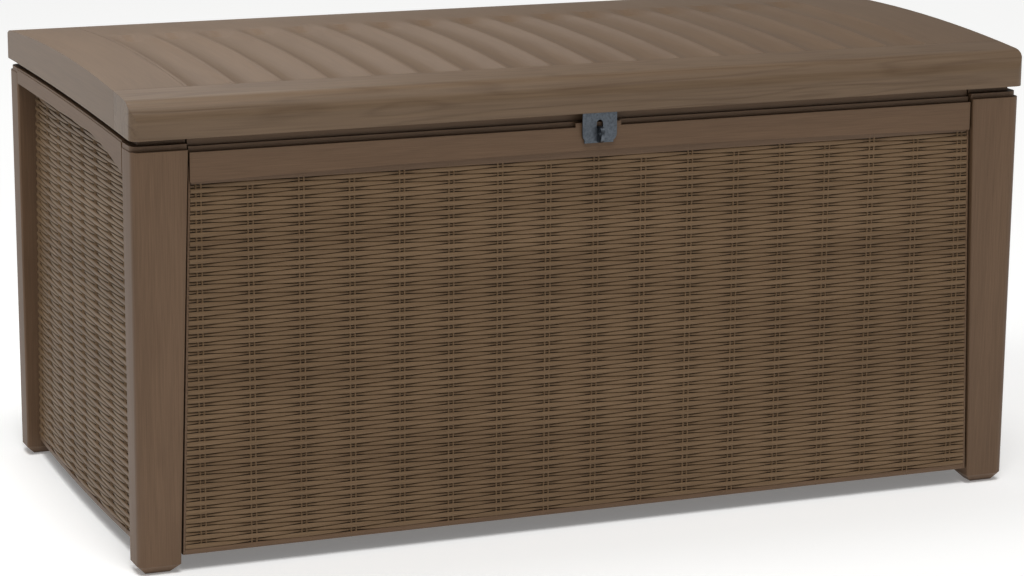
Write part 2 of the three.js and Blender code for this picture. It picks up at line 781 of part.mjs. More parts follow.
// A plate on the inner side of the rear post, with a stud out in front of the post.
function strutLowerBracket(name, side) {
  const { x: y, y: z } = strutLower;
  const half = bracketHeight / 2;
  const round = bracketWidth / 2;
  const x0 = -halfLength + postWidth(z + half) + gap;
  const x1 = x0 + bracketThickness;
  const nose = spread(Math.PI / 2, 1.5 * Math.PI, 8).map((a) => [
    y + round * Math.cos(a),
    z + round * Math.sin(a),
  ]);
  const backY = postInnerY + bracketOnPost;
  let body = prismX(outline([...nose, [postInnerY, z - half], [backY, z - half], [backY, z + half],
    [postInnerY, z + half]]), x0, x1);
  body = body.add(cylinderX(eyeRadius, x1 - fuse, -strutX - eyeWidth / 2 - gap, y, z));
  body = body.add(cylinderX(studRadius, x1 - fuse, studEndX, y, z));
  const made = mesh(name, body, zinc());
  made.scale.x = -side;
  return made;
}

function strutUpperBracket(name, side) {
  const { x: y, y: z } = strutUpper;
  const half = bracketWidth / 2;
  const roof = (a) =>
    crownHeight - lidCrownRadius + Math.sqrt((lidCrownRadius - lidWall) ** 2 - a ** 2) - gap;
  const top = Math.min(roof(y - half), roof(y + half));
  const webX1 = -strutX - eyeWidth / 2 - gap;
  const webX0 = webX1 - bracketThickness;
  let body = box(
    webX0 - bracketFlangeOut, webX0 + bracketFlangeIn, y - half, y + half, top - bracketThickness, top,
  );
  body = body.add(
    prismX(
      outline([[y - half, top - fuse], [y - eyeRadius, z - eyeRadius], [y + eyeRadius, z - eyeRadius],
        [y + half, top - fuse]]),
      webX0,
      webX1,
    ),
  );
  body = body.add(cylinderX(studRadius, webX1 - fuse, studEndX, y, z));
  const made = mesh(name, body, zinc());
  made.scale.x = -side;
  return made;
}

// ---- latch: a forked hasp on the lid that straddles a staple on the front rail ----
const haspScrewX = 16;
const haspEdgeZ = lidEdge(-lidHalfDepth);
const haspScrewZ = haspEdgeZ + haspAboveEdge / 2;
const haspBackY = -lidHalfDepth + lidWall + gap + haspThickness;

function hasp() {
  const half = haspWidth / 2;
  const slot = haspSlotWidth / 2;
  const bottom = haspEdgeZ - haspBelowLid;
  const lobe = (half - slot) / 2;
  const arc = (centre) =>
    spread(Math.PI, 2 * Math.PI, 8).map((a) => [
      centre + lobe * Math.cos(a),
      bottom + lobe + lobe * Math.sin(a),
    ]);
  const slotTop = spread(Math.PI, 0, 6).map((a) => [
    slot * Math.cos(a),
    bottom + haspSlotHeight - slot + slot * Math.sin(a),
  ]);
  const top = haspEdgeZ + haspAboveEdge;
  const points = [...arc(-half + lobe), ...slotTop, ...arc(half - lobe), [half, top], [-half, top]];
  let body = prismY(outline(points), haspBackY - haspThickness, haspBackY);
  for (const side of [-1, 1])
    body = body.subtract(
      cylinderY(screwRadius + gap, side * haspScrewX, haspBackY - 4, haspBackY + over, haspScrewZ),
    );
  return mesh("lid_hasp", body, zinc());
}

function staple() {
  const face = -railFaceY - gap;
  const front = face - staplePlateThickness;
  const top = bodyHeight - railDrop - stapleBelowRailTop;
  const bottom = top - staplePlateHeight;
  const half = haspWidth / 2 - stapleInset;
  let body = box(-half, half, front, face, bottom, top);
  const eyeZ = (top + bottom) / 2 + stapleBelowRailTop;
  const tall = stapleEyeHeight / 2;
  const round = tall * 0.8;
  const nose = spread(-Math.PI / 2, -1.5 * Math.PI, 8).map((a) => [
    -reach + round + round * Math.cos(a),
    eyeZ + tall * Math.sin(a),
  ]);
  const eyePlate = prismX(
    outline([...nose, [face - fuse, eyeZ + tall], [face - fuse, eyeZ - tall]].reverse()),
    -stapleWidth / 2,
    stapleWidth / 2,
  );
  body = body.add(eyePlate);
  const holeY = -reach + stapleHoleRadius + stapleHoleEdge;
  body = body.subtract(cylinderX(stapleHoleRadius, -stapleWidth, stapleWidth, holeY, eyeZ));
  return mesh("lock_staple", body, zinc());
}

function haspScrews() {
  return [["a", -1], ["b", 1]].map(([hand, side]) =>
    screw("hasp_screw_" + hand, haspScrewLength, side * haspScrewX, haspBackY + gap, haspScrewZ),
  );
}

// ---- the assembly ----
const body = new THREE.Group();
body.add(
  floorPanel(),
  wallPanel("front_panel", -1, bodyHeight),
  wallPanel("back_panel", 1, rearTop),
  capRail("front_rail", -1, bodyHeight),
  capRail("back_rail", 1, rearTop),
  staple(),
);
for (const [word, side] of [["left", -1], ["right", 1]]) {
  body.add(
    post("post_front_" + word, side, -1),
    post("post_rear_" + word, side, 1),
    sidePanel("side_panel_" + word, side),
    sideRail("side_rail_" + word, side),
    strutLowerBracket("strut_lower_bracket_" + word, side),
  );
}

const lid = new THREE.Group();
lid.add(
  lidTopPanel(),
  lidFrontBeam(),
  lidEndBoard("lid_end_board_left", -1),
  lidEndBoard("lid_end_board_right", 1),
  lidBrace("lid_brace_front", frontBraceY),
  lidBrace("lid_brace_rear", rearBraceY),
  hasp(),
  ...haspScrews(),
  strutUpperBracket("strut_upper_bracket_left", -1),
  strutUpperBracket("strut_upper_bracket_right", 1),
);

const fittings = new THREE.Group();
fittings.add(...hingePlaces().map(hinge));
for (const [word, side] of [["left", -1], ["right", 1]])
  fittings.add(strutCylinder("strut_cylinder_" + word, side), strutRod("strut_rod_" + word, side));

const deckBox = new THREE.Group();
deckBox.add(body, lid, fittings);
export default deckBox;
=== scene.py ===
# %% [markdown]
# # A moulded resin deck box
#
# A deck box is a waterproof chest for garden cushions. This one is injection moulded in brown
# polypropylene: four tapered corner posts, walls that look like woven rattan, and an arched lid
# that doubles as a bench. The solids, the joints and the real sizes are loaded as a fixed frame.
# Everything below dresses that frame: woven walls, a fluted seat, rounded edges and finishes.

# %% Load the frame
import math

import bpy
from mathutils import Matrix, Vector


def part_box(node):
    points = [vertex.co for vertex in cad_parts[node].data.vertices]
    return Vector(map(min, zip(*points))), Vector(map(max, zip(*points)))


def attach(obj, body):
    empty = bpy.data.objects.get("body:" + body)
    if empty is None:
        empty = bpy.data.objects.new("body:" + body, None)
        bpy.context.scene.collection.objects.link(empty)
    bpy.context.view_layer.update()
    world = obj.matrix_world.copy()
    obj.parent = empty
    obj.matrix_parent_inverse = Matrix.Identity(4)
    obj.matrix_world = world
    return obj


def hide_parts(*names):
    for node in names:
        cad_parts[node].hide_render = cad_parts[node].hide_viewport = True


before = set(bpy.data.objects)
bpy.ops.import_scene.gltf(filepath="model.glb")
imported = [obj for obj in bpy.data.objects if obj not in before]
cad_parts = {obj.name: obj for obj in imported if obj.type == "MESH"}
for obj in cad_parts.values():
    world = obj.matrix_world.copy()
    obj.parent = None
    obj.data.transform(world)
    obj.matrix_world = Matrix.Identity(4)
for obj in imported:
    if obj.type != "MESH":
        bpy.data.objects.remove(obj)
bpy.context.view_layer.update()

MM = 0.001

# %% [markdown]
# ## Camera
#
# A long lens, about 114 mm on a 36 mm sensor, keeps the box's edges nearly parallel. The camera
# stands to the left of the front and looks 13 degrees down, with a trace of roll. It is placed by
# turning it about its own axes first and then moving it, which is one product of matrices.

# %% Camera
CAMERA_PLACE = Vector((-1.6932, -4.2621, 1.3268))
CAMERA_YAW = math.radians(-21.78)
CAMERA_PITCH = math.radians(13.033)
CAMERA_ROLL = math.radians(0.372)
LENS_MM = 113.9
SENSOR_MM = 36

bpy.ops.object.camera_add()
camera = bpy.context.object
camera.data.lens = LENS_MM
camera.data.sensor_width = SENSOR_MM
camera.data.clip_end = 60
camera.matrix_world = (
    Matrix.Translation(CAMERA_PLACE)
    @ Matrix.Rotation(CAMERA_YAW, 4, "Z")
    @ Matrix.Rotation(math.pi / 2 - CAMERA_PITCH, 4, "X")
    @ Matrix.Rotation(CAMERA_ROLL, 4, "Z")
)
bpy.context.scene.camera = camera
print("camera, m:", [round(value, 3) for value in camera.matrix_world.translation])

# %% [markdown]
# ## Helpers for meshes
#
# An operator works on whatever is selected, and the frame arrives selected. So a new piece starts
# by deselecting everything, and edit-mode selections are made in code, by where a vertex is. The
# other helpers copy and join pieces, apply modifiers, move a piece's place into its mesh and shade
# it smooth.

# %% Mesh helpers
def deselect():
    """Leave edit mode and select nothing."""
    if bpy.context.object and bpy.context.object.mode != "OBJECT":
        bpy.ops.object.mode_set(mode="OBJECT")
    bpy.ops.object.select_all(action="DESELECT")


def activate(piece):
    deselect()
    piece.select_set(True)
    bpy.context.view_layer.objects.active = piece


def pick(piece, chosen):
    """In edit mode, select the vertices whose place passes the test."""
    bpy.ops.object.mode_set(mode="OBJECT")
    for part in (piece.data.polygons, piece.data.edges):
        part.foreach_set("select", [False] * len(part))
    piece.data.vertices.foreach_set("select", [chosen(v.co) for v in piece.data.vertices])
    bpy.ops.object.mode_set(mode="EDIT")
    bpy.ops.mesh.select_mode(type="VERT")


def twin(piece, name):
    """A copy with a mesh of its own."""
    copy = piece.copy()
    copy.data = piece.data.copy()
    copy.name = name
    copy.data.name = name
    bpy.context.scene.collection.objects.link(copy)
    return copy


def join(pieces, name):
    """Make one object of several."""
    activate(pieces[0])
    for piece in pieces:
        piece.select_set(True)
    bpy.ops.object.join()
    joined = bpy.context.object
    joined.name = name
    joined.data.name = name
    return joined


def modify(piece, kind, **settings):
    """Add a modifier, set it up and apply it."""
    activate(piece)
    modifier = piece.modifiers.new(kind.lower(), kind)
    for key, value in settings.items():
        setattr(modifier, key, value)
    bpy.ops.object.modifier_apply(modifier=modifier.name)
    return piece


def settle(piece):
    """Put the object at the origin, unturned and unscaled, with its place in its mesh."""
    activate(piece)
    bpy.ops.object.transform_apply(location=True, rotation=True, scale=True)
    return piece


def smooth(piece, degrees=35):
    activate(piece)
    bpy.ops.object.shade_smooth_by_angle(angle=math.radians(degrees))
    return piece


# %% [markdown]
# ## Helpers for materials
#
# Colours are written as a designer would, as sRGB hex, and one function turns them linear. One
# function adds a node with its settings and links, and a finish is then a short list of such lines.

# %% Material helpers
def linear(code, alpha=1.0):
    """An sRGB hex colour as linear RGBA."""
    channels = [int(code[start : start + 2], 16) / 255 for start in (1, 3, 5)]
    return (*[c / 12.92 if c <= 0.04045 else ((c + 0.055) / 1.055) ** 2.4 for c in channels], alpha)


def add(tree, kind, inputs=None, **settings):
    """Add a node. inputs maps a socket's name or number to a value or to another node's socket."""
    node = tree.nodes.new("ShaderNode" + kind)
    for key, value in settings.items():
        setattr(node, key, value)
    for key, value in (inputs or {}).items():
        if isinstance(value, bpy.types.NodeSocket):
            tree.links.new(value, node.inputs[key])
        else:
            node.inputs[key].default_value = value
    return node


def material(name, **principled):
    """A new material, its node tree and its Principled shader."""
    made = bpy.data.materials.new(name)
    made.use_nodes = True
    shader = made.node_tree.nodes["Principled BSDF"]
    for key, value in principled.items():
        shader.inputs[key.replace("_", " ")].default_value = value
    return made, made.node_tree, shader


def ramp(tree, factor, stops):
    """A colour ramp through (place, hex colour) stops."""
    node = add(tree, "ValToRGB", {0: factor})
    elements = node.color_ramp.elements
    while len(elements) < len(stops):
        elements.new(0.5)
    for element, (place, code) in zip(elements, stops):
        element.position = place
        element.color = linear(code)
    return node.outputs[0]


# %% [markdown]
# ## Moulded polypropylene
#
# Nearly every part is injection-moulded polypropylene with a wood grain etched in the mould: a
# satin surface, IOR about 1.49, with fine streaks that run along the board. A noise texture
# stretched along one axis makes the streaks. The mould's grain is under half a millimetre wide, too
# fine to show, so it is drawn 1.6 mm wide, and 3 mm on the lid. A second, wider noise gives the slow
# change of tone across a moulding. The wood figure itself is a set of contour lines of a third, very
# broad noise: its height is folded back and forth, and each fold leaves a thin dark line, as growth
# rings do. The lid is the same resin in slightly paler, greyer tones; on its seat and end boards part
# of that paleness is a painted sheen, standing in for gloss that is turned low. Its front beam has the
# strongest figure, and the woven strands have none.

# %% Moulded polypropylene
RESIN_IOR = 1.49
GRAIN_MM = 1.6  # width of a streak
STREAK = 42  # how many times longer than wide a streak is
GRAIN_SHARE = 0.6  # of the tone; the slow change has the rest
DRIFT_MM = 60  # the slow change of tone, across the board
DRIFT_ALONG = 0.15  # how fast it changes along the board, against across it
BOARD_MM = 420  # the figure's growth rings change this slowly along the board
RING_MM = 34  # and this fast across it
RING_COUNT = 11.0
LINE_WIDTH = 0.4  # of a ring's dark line, in rings
LINE_DARKNESS = 0.16
LINE_DEPTH = 1.5  # of a ring's dark line, against the grain's height


def moulded_resin(
    name,
    tones,
    along="Z",
    roughness=0.5,
    depth_mm=0.12,
    grain_mm=GRAIN_MM,
    figure=0.3,
    gloss=0.3,
):
    made, tree, shader = material(name, IOR=RESIN_IOR, Roughness=roughness, Specular_IOR_Level=gloss)
    place = add(tree, "TexCoord").outputs["Object"]
    across = 1 / (grain_mm * MM)
    scale = [across / STREAK if axis == along else across for axis in "XYZ"]
    stretched = add(tree, "Mapping", {"Vector": place, "Scale": scale}).outputs[0]
    grain = add(
        tree,
        "TexNoise",
        {"Vector": stretched, "Scale": 1.0, "Detail": 4.0, "Roughness": 0.55, "Distortion": 0.4},
    ).outputs[0]
    slow = [DRIFT_ALONG / (DRIFT_MM * MM) if axis == along else 1 / (DRIFT_MM * MM) for axis in "XYZ"]
    drift = add(tree, "Mapping", {"Vector": place, "Scale": slow}).outputs[0]
    tone = add(tree, "TexNoise", {"Vector": drift, "Scale": 1.0, "Detail": 2.0}).outputs[0]
    blend = add(tree, "Math", {0: grain, 1: GRAIN_SHARE}, operation="MULTIPLY").outputs[0]
    total = add(
        tree, "Math", {0: tone, 1: 1 - GRAIN_SHARE, 2: blend}, operation="MULTIPLY_ADD"
    ).outputs[0]

    broad = [1 / (BOARD_MM * MM) if axis == along else 1 / (RING_MM * MM) for axis in "XYZ"]
    board = add(tree, "Mapping", {"Vector": place, "Scale": broad}).outputs[0]
    growth = add(
        tree, "TexNoise", {"Vector": board, "Scale": 1.0, "Detail": 1.0, "Distortion": 0.3}
    ).outputs[0]
    rings = add(tree, "Math", {0: growth, 1: RING_COUNT}, operation="MULTIPLY").outputs[0]
    ring = add(tree, "Math", {0: rings, 1: 1.0}, operation="PINGPONG").outputs[0]
    line = add(
        tree,
        "MapRange",
        {"Value": ring, "From Min": 0.0, "From Max": LINE_WIDTH, "To Min": 1.0, "To Max": 0.0},
    ).outputs[0]
    total = add(
        tree, "Math", {0: line, 1: -LINE_DARKNESS * figure, 2: total}, operation="MULTIPLY_ADD"
    ).outputs[0]
    colour = ramp(tree, total, list(zip((0.3, 0.5, 0.7), tones)))
    tree.links.new(colour, shader.inputs["Base Color"])
    height = add(
        tree, "Math", {0: line, 1: -LINE_DEPTH * figure, 2: grain}, operation="MULTIPLY_ADD"
    ).outputs[0]
    bump = add(tree, "Bump", {"Height": height, "Distance": depth_mm * MM, "Strength": 0.6}).outputs[0]
    tree.links.new(bump, shader.inputs["Normal"])
    return made


POST_TONES = ("#5c4633", "#654e3a", "#6e5641")  # dark, middle and light
BEAM_TONES = ("#5f4b38", "#6a5642", "#745e49")
# Paler and greyer than the posts: partly the lid's own tone, partly a painted sheen in place of gloss.
LID_TONES_WITH_SHEEN = ("#634f3d", "#695542", "#6f5a46")
LID_GRAIN_MM = 3
LID_ROUGHNESS = 0.4

post_resin = moulded_resin("polypropylene_moulded_vertical_grain", POST_TONES, along="Z")
rail_resin = moulded_resin("polypropylene_moulded_long_grain", POST_TONES, along="X")
side_rail_resin = moulded_resin("polypropylene_moulded_cross_grain", POST_TONES, along="Y")
lid_long_resin = moulded_resin(
    "polypropylene_lid_long_grain",
    BEAM_TONES,
    along="X",
    roughness=LID_ROUGHNESS,
    grain_mm=LID_GRAIN_MM,
    figure=1.0,
    gloss=0.36,
)
# Low gloss here; the paler tones paint in part of the lid's sheen.
lid_cross_resin = moulded_resin(
    "polypropylene_lid_cross_grain",
    LID_TONES_WITH_SHEEN,
    along="Y",
    roughness=LID_ROUGHNESS,
    grain_mm=LID_GRAIN_MM,
    gloss=0.22,
)
print("made", post_resin.name, "and", lid_long_resin.name)

# %% [markdown]
# ## Woven-look resin
#
# The walls are moulded to look like flat rattan. The strands take the light like the posts do, with
# faint streaks along the strand. The ground between the strands is deep, and it is a darker, rougher
# tone of the same resin: its darkness is painted shade for the gaps between the strands.

# %% Woven-look resin
WEAVE_TONES = ("#5f4932", "#6e573e", "#7c644a")
# The ground's tones are dark to paint the shade that falls in the gaps of the weave.
SHADED_GROUND_TONES = ("#2e2016", "#35271b", "#3d2d20")
STRAND_GRAIN_DEPTH_MM = 0.08

strand_long = moulded_resin(
    "polypropylene_strands_long", WEAVE_TONES, along="X", depth_mm=STRAND_GRAIN_DEPTH_MM, figure=0
)
strand_cross = moulded_resin(
    "polypropylene_strands_cross", WEAVE_TONES, along="Y", depth_mm=STRAND_GRAIN_DEPTH_MM, figure=0
)
stake_resin = moulded_resin("polypropylene_stakes", WEAVE_TONES, along="Z", figure=0)
# Painted shade: the dark ground seen between the strands.
painted_shade_ground = moulded_resin(
    "polypropylene_weave_ground_painted_shade", SHADED_GROUND_TONES, along="Z", roughness=0.7, figure=0
)

# %% [markdown]
# ## Fine-textured resin for the floor
#
# The floor has a spark-eroded mould texture, an even, fine pebble without direction, which hides
# the scratches that stored things leave. One fine noise gives both its tone and its bumps.

# %% Fine-textured resin
PEBBLE_MM = 1.8  # spark texture is about 0.3 mm; drawn coarser so that it shows
PEBBLE_DEPTH_MM = 0.15


def textured_resin(name, dark, light):
    made, tree, shader = material(name, IOR=RESIN_IOR, Roughness=0.62)
    place = add(tree, "TexCoord").outputs["Object"]
    pebble = add(
        tree, "TexNoise", {"Vector": place, "Scale": 1 / (PEBBLE_MM * MM), "Detail": 3.0}
    ).outputs[0]
    tree.links.new(ramp(tree, pebble, [(0.35, dark), (0.65, light)]), shader.inputs["Base Color"])
    bump = add(
        tree, "Bump", {"Height": pebble, "Distance": PEBBLE_DEPTH_MM * MM, "Strength": 0.5}
    ).outputs[0]
    tree.links.new(bump, shader.inputs["Normal"])
    return made


floor_resin = textured_resin("polypropylene_spark_texture", "#54402f", "#634c3a")

# %% [markdown]
# ## Metals
#
# The latch and the hinges are pressed steel with blue zinc plating: a soft, slightly blue grey with
# a faint mottle, drawn 3 mm wide so that it shows. The strut cylinders are sprayed black, with a
# light orange peel, and paint isn't metallic. The strut rods are hard chromed and ground, so they
# are nearly mirror smooth. In each of them one noise drives the tone, the roughness and the faint
# bumps.

# %% Metals
SMOOTHER = 0.06  # how far the roughness strays down
ROUGHER = 0.08  # and up


def coated_steel(name, dark, light, roughness, mottle_mm, metallic=1.0, depth_mm=0.02):
    made, tree, shader = material(name, Metallic=metallic)
    place = add(tree, "TexCoord").outputs["Object"]
    mottle = add(
        tree, "TexNoise", {"Vector": place, "Scale": 1 / (mottle_mm * MM), "Detail": 5.0}
    ).outputs[0]
    tree.links.new(ramp(tree, mottle, [(0.3, dark), (0.7, light)]), shader.inputs["Base Color"])
    rough = add(
        tree,
        "MapRange",
        {
            "Value": mottle,
            "From Min": 0.3,
            "From Max": 0.7,
            "To Min": roughness - SMOOTHER,
            "To Max": roughness + ROUGHER,
        },
    ).outputs[0]
    tree.links.new(rough, shader.inputs["Roughness"])
    bump = add(tree, "Bump", {"Height": mottle, "Distance": depth_mm * MM, "Strength": 0.5}).outputs[0]
    tree.links.new(bump, shader.inputs["Normal"])
    return made


zinc = coated_steel("steel_blue_zinc_plated", "#4c5157", "#686e75", 0.36, 3)
black_paint = coated_steel("steel_sprayed_black", "#141415", "#1e1e20", 0.34, 1.2, metallic=0.0)
chrome = coated_steel("steel_hard_chromed", "#c9ccd0", "#dfe1e4", 0.12, 0.8, depth_mm=0.004)

# %% [markdown]
# ## Dressing a frame node
#
# Most of the frame's solids have the right shape and only lack what a moulding has: softened
# edges and smooth rounds. A node's own mesh stays as it is. A copy is merged into one skin, its flat
# triangles are joined into whole faces, its sharp edges get a small bevel, its rounds are shaded
# smooth with the flat faces kept flat, and the copy stands in for the node.

# %% Dressing
SAME_POINT = 0.01 * MM
SAME_PLANE = math.radians(0.05)


def dressed(node, finish, body, round_mm=0.8, degrees=32, merge_faces=True):
    """A finished copy of a node, which rides on the body and stands in for the node."""
    piece = twin(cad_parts[node], node + "_finished")
    piece.parent = None
    for key in list(piece.keys()):
        del piece[key]
    activate(piece)
    bpy.ops.object.mode_set(mode="EDIT")
    bpy.ops.mesh.select_all(action="SELECT")
    bpy.ops.mesh.remove_doubles(threshold=SAME_POINT)
    if merge_faces:
        bpy.ops.mesh.dissolve_limited(angle_limit=SAME_PLANE)
    bpy.ops.object.mode_set(mode="OBJECT")
    modify(
        piece,
        "BEVEL",
        width=round_mm * MM,
        segments=2,
        limit_method="ANGLE",
        angle_limit=math.radians(degrees),
        use_clamp_overlap=True,
    )
    smooth(piece, degrees)
    modify(piece, "WEIGHTED_NORMAL", keep_sharp=True)
    piece.data.materials.clear()
    piece.data.materials.append(finish)
    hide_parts(node)
    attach(piece, body)
    print(piece.name, len(piece.data.polygons), "faces")
    return piece


# %% [markdown]
# ## Posts, rails, floor and plain walls
#
# The posts have rounder edges than the rails. The two long rails keep their triangles, because
# their long sides would fold if they were joined into whole faces. The walls get only the dark
# ground, which paints the shade in the gaps of the weave, and keep their own meshes, because the
# weave that follows hides their edges.

# %% Posts, rails, floor and plain walls
SIDES = ("left", "right")
POST_ROUND_MM = 1.2
FLOOR_ROUND_MM = 0.6

for side in SIDES:
    dressed("post_front_" + side, post_resin, "box", POST_ROUND_MM)
    dressed("post_rear_" + side, post_resin, "box", POST_ROUND_MM)
    dressed("side_rail_" + side, side_rail_resin, "box")
dressed("front_rail", rail_resin, "box", merge_faces=False)
dressed("back_rail", rail_resin, "box", merge_faces=False)
dressed("floor_panel", floor_resin, "box", FLOOR_ROUND_MM)
# The plain walls behind the weave take the dark ground, painted shade between the strands.
for wall in ("front_panel", "back_panel", "side_panel_left", "side_panel_right"):
    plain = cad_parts[wall]
    plain.data.materials.clear()
    plain.data.materials.append(painted_shade_ground)

# %% [markdown]
# ## One strand of the weave
#
# A moulded weave copies real wicker: each strand runs over one upright stake and under the next,
# and its neighbours do the opposite. Seen from the front, a strand is therefore a row of lenses: it
# is wide and proud where it passes over a stake, narrow and sunk where it passes under. A bump map
# would lose the dark gaps that show at a slant, so the strands are real geometry.
#
# One strand starts as a cylinder cut in half lengthwise, to keep its round front and a flat back.
# It is bisected into rings, and each ring is scaled and pushed out by a cosine, which is squared in
# the dips to make them short.

# %% One strand
STAKE_PITCH = 69.4 * MM
ROW_PITCH = 5.8 * MM
RINGS_PER_STAKE = 12
RING = STAKE_PITCH / RINGS_PER_STAKE
HALF_WIDTH = (2.76 * MM, 0.52 * MM, 1.5 * MM)  # mean, gain over a stake, loss under a stake
THICKNESS = (1.9 * MM, 0.3 * MM, 0.7 * MM)
LIFT = (1.1 * MM, 0.3 * MM, 1.1 * MM)  # of the strand's back off the wall
DIP_SHARPNESS = 2
ROD_SIDES = 8


def half_rod(length, turn):
    """A half-round rod of radius 1, upright unless turned, its round side towards -Y."""
    deselect()
    bpy.ops.mesh.primitive_cylinder_add(vertices=ROD_SIDES, radius=1, depth=length, rotation=turn)
    rod = settle(bpy.context.object)
    bpy.ops.object.mode_set(mode="EDIT")
    bpy.ops.mesh.select_all(action="SELECT")
    bpy.ops.mesh.bisect(plane_co=(0, 0, 0), plane_no=(0, 1, 0), use_fill=True, clear_outer=True)
    bpy.ops.object.mode_set(mode="OBJECT")
    return rod


def swelling(sizes, x):
    """A size of the strand at x: a long swell over its stake, a short dip under the next."""
    mean, gain, loss = sizes
    wave = math.cos(math.pi * x / STAKE_PITCH)
    return mean + gain * wave if wave > 0 else mean - loss * wave**DIP_SHARPNESS


def strand(reach):
    """A strand along X, from about -reach to reach."""
    rings = 2 * math.ceil(reach / RING)
    length = rings * RING
    piece = half_rod(length, (0, math.pi / 2, 0))
    bpy.ops.object.mode_set(mode="EDIT")
    for ring in range(1, rings):
        bpy.ops.mesh.select_all(action="SELECT")
        bpy.ops.mesh.bisect(plane_co=((ring - rings / 2) * RING, 0, 0), plane_no=(1, 0, 0))
    for ring in range(rings + 1):
        x = (ring - rings / 2) * RING
        pick(piece, lambda co: abs(co.x - x) < RING / 3)
        bpy.ops.transform.resize(
            value=(1, swelling(THICKNESS, x), swelling(HALF_WIDTH, x)), center_override=(x, 0, 0)
        )
        bpy.ops.transform.translate(value=(0, -swelling(LIFT, x), 0))
    bpy.ops.object.mode_set(mode="OBJECT")
    return piece


# %% [markdown]
# ## A woven wall
#
# Two neighbouring strands repeat all the way up: the second is the first moved along by one stake.
# An array modifier stacks the pair, and a bisect closes each cut where the stack meets a post. The
# back wall is the front wall's copy, given a half turn about the box's upright axis.

# %% Stacking and cutting
def stacked_strands(reach, pairs, bend=None, turn=0, step=0.0):
    """Pairs of strands on top of each other, each pair a step further along X than the last."""
    even = strand(reach + STAKE_PITCH)
    odd = twin(even, "odd_strand")
    odd.location = (STAKE_PITCH, 0, ROW_PITCH)
    pair = join([even, settle(odd)], "strand_pair")
    pair.rotation_euler.z = turn
    settle(pair)
    if bend:
        bend(pair)
    return modify(
        pair,
        "ARRAY",
        count=pairs,
        use_relative_offset=False,
        use_constant_offset=True,
        constant_offset_displace=(step, 0, 2 * ROW_PITCH),
    )


def cut(piece, point, normal):
    """Keep what lies behind the plane, and close the cut."""
    activate(piece)
    bpy.ops.object.mode_set(mode="EDIT")
    bpy.ops.mesh.select_all(action="SELECT")
    bpy.ops.mesh.bisect(plane_co=point, plane_no=normal, use_fill=True, clear_outer=True)
    bpy.ops.object.mode_set(mode="OBJECT")
    return piece


def turned_twin(piece, name):
    """The same piece on the opposite wall: a half turn about the box's upright axis."""
    copy = twin(piece, name)
    copy.rotation_euler.z = math.pi
    return settle(copy)


def finish_piece(piece, name, finish, body, degrees=35):
    """Name a new piece, shade it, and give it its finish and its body."""
    piece.name = name
    piece.data.name = name
    smooth(piece, degrees)
    piece.data.materials.clear()
    piece.data.materials.append(finish)
    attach(piece, body)
    print(name, len(piece.data.polygons), "faces")
    return piece


# %% [markdown]
# ## Front and back weave
#
# The posts get wider towards the top, so the front and back walls get narrower. The weave is cut
# along the same slant, and a border's width is left between the cut and the post.

# %% Front and back weave
BODY_HALF_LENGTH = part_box("post_front_right")[1].x
POST_WIDTH_FOOT = 58 * MM
POST_TAPER = 17 / 564  # a post gets 17 mm wider over its height
WALL_GROOVE = 2.5 * MM
WALL_BORDER = 3 * MM
WALL_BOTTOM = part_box("front_panel")[0].z
BORDER_HEIGHT = 7 * MM
FIRST_ROW = WALL_BOTTOM + BORDER_HEIGHT + ROW_PITCH / 2
WALL_FACE = -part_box("front_panel")[0].y
FRONT_PAIRS = 42


def front_edge(z, border=0.0):
    """How far from the middle the front wall reaches at a height, less a border."""
    return BODY_HALF_LENGTH - POST_WIDTH_FOOT - POST_TAPER * z - WALL_GROOVE - border


front_strands = stacked_strands(front_edge(0), FRONT_PAIRS)
front_strands.location = (0, -WALL_FACE, FIRST_ROW)
settle(front_strands)
for hand in (-1, 1):
    cut(front_strands, (hand * front_edge(0, WALL_BORDER), 0, 0), (hand, 0, POST_TAPER))
back_strands = turned_twin(front_strands, "back_wall_strands")
finish_piece(front_strands, "front_wall_strands", strand_long, "box")
finish_piece(back_strands, "back_wall_strands", strand_long, "box")

# %% [markdown]
# ## End weave
#
# The end walls are bowed and lean a little. The pair is bent before it is stacked, ring by ring, and
# the array's small sideways step makes the stack lean.

# %% End weave
FRONT_POST_TOP = 564 * MM
POST_INNER_Y = 287 * MM
POST_GAP = 0.5 * MM
SIDE_RECESS = 29 * MM
SIDE_LEAN = 8 / 564  # an end wall leans in 8 mm over its height
SIDE_BOW = 6 * MM
SIDE_PAIRS = 45


def side_bulge(y):
    """How far the end wall is bowed out at y."""
    return SIDE_BOW * (1 - (y / POST_INNER_Y) ** 2)


def bow(piece):
    """Push the pair out in the middle of the end wall, ring by ring."""
    activate(piece)
    places = sorted({round(v.co.y / RING) for v in piece.data.vertices})
    for place in places:
        y = place * RING
        pick(piece, lambda co: abs(co.y - y) < RING / 3)
        bpy.ops.transform.translate(value=(-side_bulge(y), 0, 0))
    bpy.ops.object.mode_set(mode="OBJECT")


def side_wall_x(z):
    """Where the left end wall's face is beside the posts."""
    return -BODY_HALF_LENGTH + SIDE_RECESS - SIDE_LEAN * (FRONT_POST_TOP - z)


left_strands = stacked_strands(
    POST_INNER_Y, SIDE_PAIRS, bend=bow, turn=-math.pi / 2, step=2 * ROW_PITCH * SIDE_LEAN
)
left_strands.location = (side_wall_x(FIRST_ROW), 0, FIRST_ROW)
settle(left_strands)
for hand in (-1, 1):
    cut(left_strands, (0, hand * (POST_INNER_Y - POST_GAP), 0), (0, hand, 0))
right_strands = turned_twin(left_strands, "right_wall_strands")
finish_piece(left_strands, "left_wall_strands", strand_cross, "box")
finish_piece(right_strands, "right_wall_strands", strand_cross, "box")

